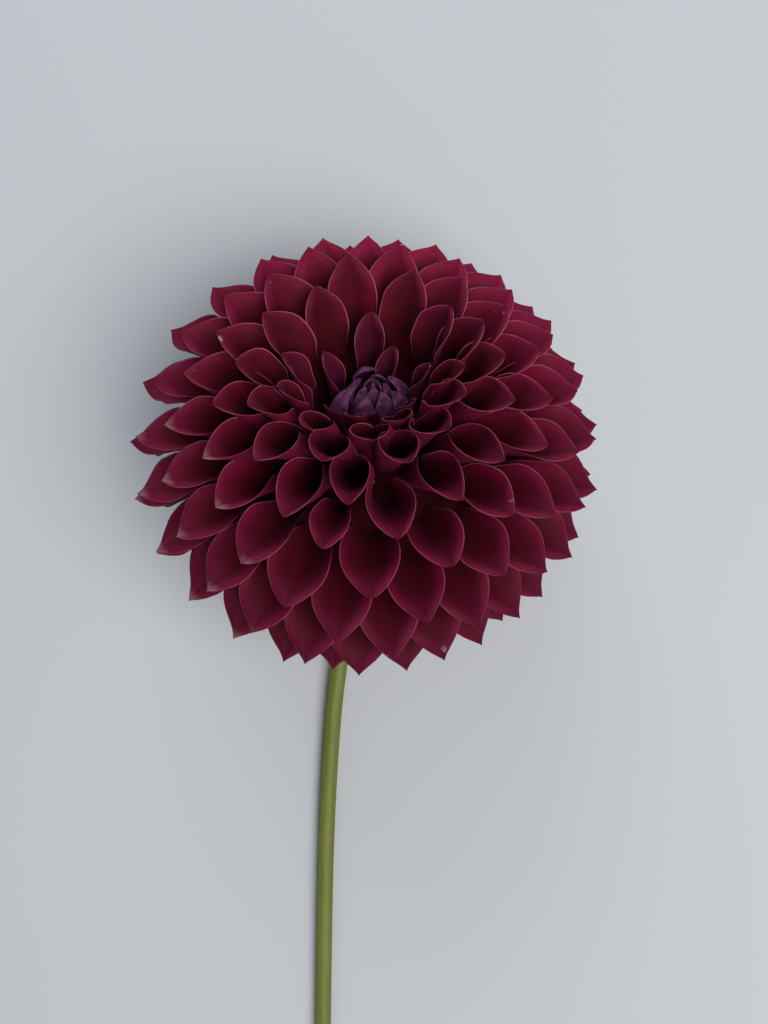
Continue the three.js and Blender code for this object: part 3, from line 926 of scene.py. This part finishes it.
def bract_values(sizes):
    """The bracts' inputs."""
    root, tip = BRACT_TURNS
    arc = BRACT_LENGTH / (tip - root)
    tip_out = BRACT_ROOT[0] + arc * (math.cos(root) - math.cos(tip))
    tip_along = BRACT_ROOT[1] + arc * (math.sin(tip) - math.sin(root))
    alike = {"Length": BRACT_LENGTH, "Curve": 9 * MM, "Wrap": 24 * DEG}
    return {
        **ray_values(sizes), **ALL_ROUND,
        **leaf_values(BRACT_POLAR, BRACT_TURNS, (tip_out, tip_along), alike),
        "First": 0, "Count": BRACTS, "Inner": 0.0, "Turn": math.tau / BRACTS, "Start": 0.0,
        "Step": 0.0, "Well Depth": 0.0, "Smallest": 1.0, "Back From": 180 * DEG,
        "Thickness": 0.9 * MM, "Widest At": 0.45, "Claw Width": 0.7, "Point Power": 2.0,
        "Sharpness": 1.0, "Claw Roll": 1.0, "Flare": 0.0, "Keel": 0.0, "Beak": 0.0,
        "Crease": 0.3 * MM, "Ruffle": 0.25 * MM, "Unevenness": 0.5,
        "Columns": 25, "Rows": 20,
    }


def scale_values(sizes):
    """The papery scales' inputs. They lie along the backs of the last petals."""
    alike = {"Length": 13 * MM, "Curve": 16 * MM, "Wrap": 21 * DEG}
    return {
        **bract_values(sizes), **leaf_values(PAPERY_POLAR, PAPERY_TURNS, PAPERY_TIP, alike),
        "Count": PAPERY_SCALES, "Turn": math.tau / PAPERY_SCALES, "Start": 20 * DEG,
        "Thickness": 0.3 * MM, "Widest At": 0.4, "Point Power": 2.4,
        "Crease": 0.1 * MM, "Ruffle": 0.35 * MM,
    }


# ---- operators
class DAHLIA_OT_ray_florets(bpy.types.Operator):
    """Build the open crimson petals"""
    bl_idname = "dahlia.ray_florets"
    bl_label = "Ray florets"

    def execute(self, context):
        tree = RosetteTree()
        values = ray_values(context.scene.dahlia_sizes)
        values["Material"] = new_material("velvety_petal")
        for name, first, count, columns, rows in PETAL_PIECES:
            values.update({"First": first, "Count": count, "Columns": columns, "Rows": rows})
            finish_piece(grown_object(name, tree, values), "ray_florets", "ray_florets")
        return {"FINISHED"}


class DAHLIA_OT_heart(bpy.types.Operator):
    """Build the closed florets of the heart"""
    bl_idname = "dahlia.heart"
    bl_label = "Heart florets"

    def execute(self, context):
        values = heart_values(context.scene.dahlia_sizes)
        values["Material"] = new_material("closed_purple_floret")
        heart = grown_object("closed_heart_florets", RosetteTree(), values)
        finish_piece(heart, "heart_florets", "heart_florets")
        return {"FINISHED"}


def ringed_mesh(name, rings, material, **kept):
    """A closed mesh through rings of points, with a point in the middle of each end.

    kept gives the name of a number that its material reads, and one value a ring.
    """
    sides = len(rings[0])
    vertices = [tuple(point) for ring in rings for point in ring]
    faces = []
    for ring in range(len(rings) - 1):
        near, far = ring * sides, (ring + 1) * sides
        for k in range(sides):
            after = (k + 1) % sides
            faces.append((near + k, near + after, far + after, far + k))
    for last in (False, True):
        ring = rings[-1] if last else rings[0]
        first = (len(rings) - 1) * sides if last else 0
        pole = len(vertices)
        vertices.append(tuple(sum(ring, Vector()) / sides))
        for k in range(sides):
            a, b = first + k, first + (k + 1) % sides
            faces.append((pole, a, b) if last else (pole, b, a))
    mesh = bpy.data.meshes.new(name)
    mesh.from_pydata(vertices, [], faces)
    for label, values in kept.items():
        spread = [value for value in values for _ in range(sides)] + [values[0], values[-1]]
        mesh.attributes.new(label, "FLOAT", "POINT").data.foreach_set("value", spread)
    mesh.shade_smooth()
    mesh.materials.append(material)
    return plain_object(name, mesh)


def head_ring(out, along, sides, lobes=0, depth=0.0):
    """A ring round the head's axis, with shallow lobes."""
    ring = []
    for k in range(sides):
        azimuth = math.tau * k / sides
        point = head_point(out * (1 + depth * math.cos(lobes * azimuth)), along, azimuth)
        point.z = max(point.z, RING_CLEARANCE)
        ring.append(point)
    return ring


class DAHLIA_OT_core(bpy.types.Operator):
    """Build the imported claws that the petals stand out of"""
    bl_idname = "dahlia.core"
    bl_label = "Core"

    def execute(self, context):
        rings = [head_ring(out * MM, along * MM, CORE_SIDES) for out, along in CORE_OUTLINE]
        core = ringed_mesh("packed_claws", rings, new_material("packed_claws"))
        finish_piece(core, "ray_florets", "ray_florets")
        return {"FINISHED"}


class DAHLIA_OT_involucre(bpy.types.Operator):
    """Build the green cup behind the head, its bracts and its papery scales"""
    bl_idname = "dahlia.involucre"
    bl_label = "Involucre"

    def execute(self, context):
        sizes = context.scene.dahlia_sizes
        rings = []
        for out, depth in CUP_OUTLINE:
            lobes = CUP_LOBES, CUP_LOBE_DEPTH if out > CUP_NECK else 0.0
            rings.append(head_ring(out * MM, CORE_BACK - depth * MM, CUP_SIDES, *lobes))
        shares = [k / (len(rings) - 1) for k in range(len(rings))]
        cup = ringed_mesh("green_cup", rings, new_material("fleshy_cup"), along=shares)
        finish_piece(cup, "bracts", "involucre")

        for name, values, material in (
            ("reflexed_bracts", bract_values(sizes), "fleshy_bract"),
            ("papery_scales", scale_values(sizes), "papery_scale"),
        ):
            values["Material"] = new_material(material)
            finish_piece(grown_object(name, RosetteTree(), values), "bracts", "involucre")
        return {"FINISHED"}


def smooth_route(points, steps):
    """Places at even steps along a smooth curve through the points."""
    route = []
    for step in range(steps + 1):
        share = step / steps * (len(points) - 1)
        at = min(int(share), len(points) - 2)
        t = share - at
        b, c = points[at], points[at + 1]
        a = points[at - 1] if at > 0 else b * 2 - c
        d = points[at + 2] if at + 2 < len(points) else c * 2 - b
        bend = (b - c) * 3 + d - a
        route.append(b + ((c - a) + (a * 2 - b * 5 + c * 4 - d + bend * t) * t) * t * 0.5)
    return route


def stalk_ring(centre, ahead, radius, step):
    """A ribbed ring round the stalk's middle line."""
    over = Vector((1, 0, 0)).cross(ahead).normalized()
    right = ahead.cross(over)
    ring = []
    for k in range(STEM_SIDES):
        angle = -math.tau * k / STEM_SIDES
        ribs = 1 - RIB_DEPTH + RIB_DEPTH * math.cos(RIBS * angle + RIB_TWIST * step)
        knots = math.sin(KNOT_RATE * step) * math.sin(angle + KNOT_TWIST * step)
        reach = radius * ribs * min(1 + KNOT_DEPTH * knots, 1.0)
        point = centre + (right * math.cos(angle) + over * math.sin(angle)) * reach
        point.z = max(point.z, FLOOR_CLEARANCE)
        ring.append(point)
    return ring


class DAHLIA_OT_stem(bpy.types.Operator):
    """Build the stalk with its shallow ribs and its hollow cut end"""
    bl_idname = "dahlia.stem"
    bl_label = "Stem"

    def execute(self, context):
        places = [head_point(0, STEM_TOP * MM), head_point(0, (STEM_TOP - STEM_NECK) * MM)]
        for x, y, height in STEM_ROUTE:
            places.append(Vector((HEAD_CENTRE.x + x * MM, HEAD_CENTRE.y + y * MM, height * MM)))
        route = smooth_route(places, STEM_STEPS)
        radii = smooth_route([Vector((radius * MM, 0, 0)) for radius in STEM_RADII], STEM_STEPS)
        rings, along, pith = [], [], []
        for step, (centre, radius) in enumerate(zip(route, radii)):
            ahead = (route[min(step + 1, STEM_STEPS)] - route[max(step - 1, 0)]).normalized()
            rings.append(stalk_ring(centre, ahead, radius.x, step))
            along.append(step / STEM_STEPS)
            pith.append(0.0)
        end = rings[-1]
        for share, depth, kind in CUT_RINGS:
            centre = route[-1] - ahead * depth * MM
            rings.append([centre + (point - route[-1]) * share for point in end])
            along.append(1.0)
            pith.append(kind)
        stalk = new_material("ribbed_stalk")
        stem = ringed_mesh("cut_stalk", rings, stalk, along=along, pith=pith)
        finish_piece(stem, "stem", "stem")
        return {"FINISHED"}


class DAHLIA_OT_stage(bpy.types.Operator):
    """Build the floor, the lights and the camera"""
    bl_idname = "dahlia.stage"
    bl_label = "Floor, light and camera"

    def execute(self, context):
        scene = context.scene
        mesh = bpy.data.meshes.new("floor")
        half = FLOOR_HALF_WIDTH
        corners = [(-half, -half, 0), (half, -half, 0), (half, half, 0), (-half, half, 0)]
        mesh.from_pydata(corners, [], [(0, 1, 2, 3)])
        mesh.materials.append(new_material("pale_floor"))
        plain_object("floor", mesh)
        world = bpy.data.worlds.new("soft_sky")
        world.use_nodes = True
        sky = world.node_tree.nodes["Background"]
        sky.inputs["Color"].default_value = SKY_COLOUR
        sky.inputs["Strength"].default_value = SKY_STRENGTH
        scene.world = world
        for name, place, width, power, colour in LIGHTS:
            light = bpy.data.lights.new(name, "AREA")
            light.size = width
            light.energy = power
            light.color = colour
            lamp = plain_object(name, light)
            lamp.location = place
            towards = LIGHT_TARGET - Vector(place)
            lamp.rotation_euler = towards.to_track_quat("-Z", "Y").to_euler()
        lens = bpy.data.cameras.new("camera")
        lens.sensor_width = SENSOR
        lens.lens = SENSOR * FOCAL_PIXELS / PHOTO_HEIGHT
        camera = plain_object("camera", lens)
        camera.location = HEAD_CENTRE + EYE_OFFSET
        scene.camera = camera
        scene.view_settings.view_transform = "Standard"
        return {"FINISHED"}


OPERATORS = (
    DAHLIA_OT_ray_florets, DAHLIA_OT_core, DAHLIA_OT_heart, DAHLIA_OT_involucre,
    DAHLIA_OT_stem, DAHLIA_OT_stage,
)


class DAHLIA_PT_panel(bpy.types.Panel):
    """Buttons that build the dahlia piece by piece"""
    bl_idname = "DAHLIA_PT_panel"
    bl_label = "Ball dahlia"
    bl_space_type = "VIEW_3D"
    bl_region_type = "UI"
    bl_category = "Dahlia"

    def draw(self, context):
        for operator in OPERATORS:
            self.layout.operator(operator.bl_idname)


CLASSES = (DahliaSizes, DahliaColours, *OPERATORS, DAHLIA_PT_panel)


def register():
    for cls in CLASSES:
        bpy.utils.register_class(cls)
    bpy.types.Scene.dahlia_sizes = bpy.props.PointerProperty(type=DahliaSizes)
    bpy.types.Scene.dahlia_colours = bpy.props.PointerProperty(type=DahliaColours)


def unregister():
    del bpy.types.Scene.dahlia_colours
    del bpy.types.Scene.dahlia_sizes
    for cls in reversed(CLASSES):
        bpy.utils.unregister_class(cls)


def main():
    register()
    bpy.ops.dahlia.ray_florets()
    bpy.ops.dahlia.core()
    bpy.ops.dahlia.heart()
    bpy.ops.dahlia.involucre()
    bpy.ops.dahlia.stem()
    bpy.ops.dahlia.stage()


if __name__ == "__main__":
    main()
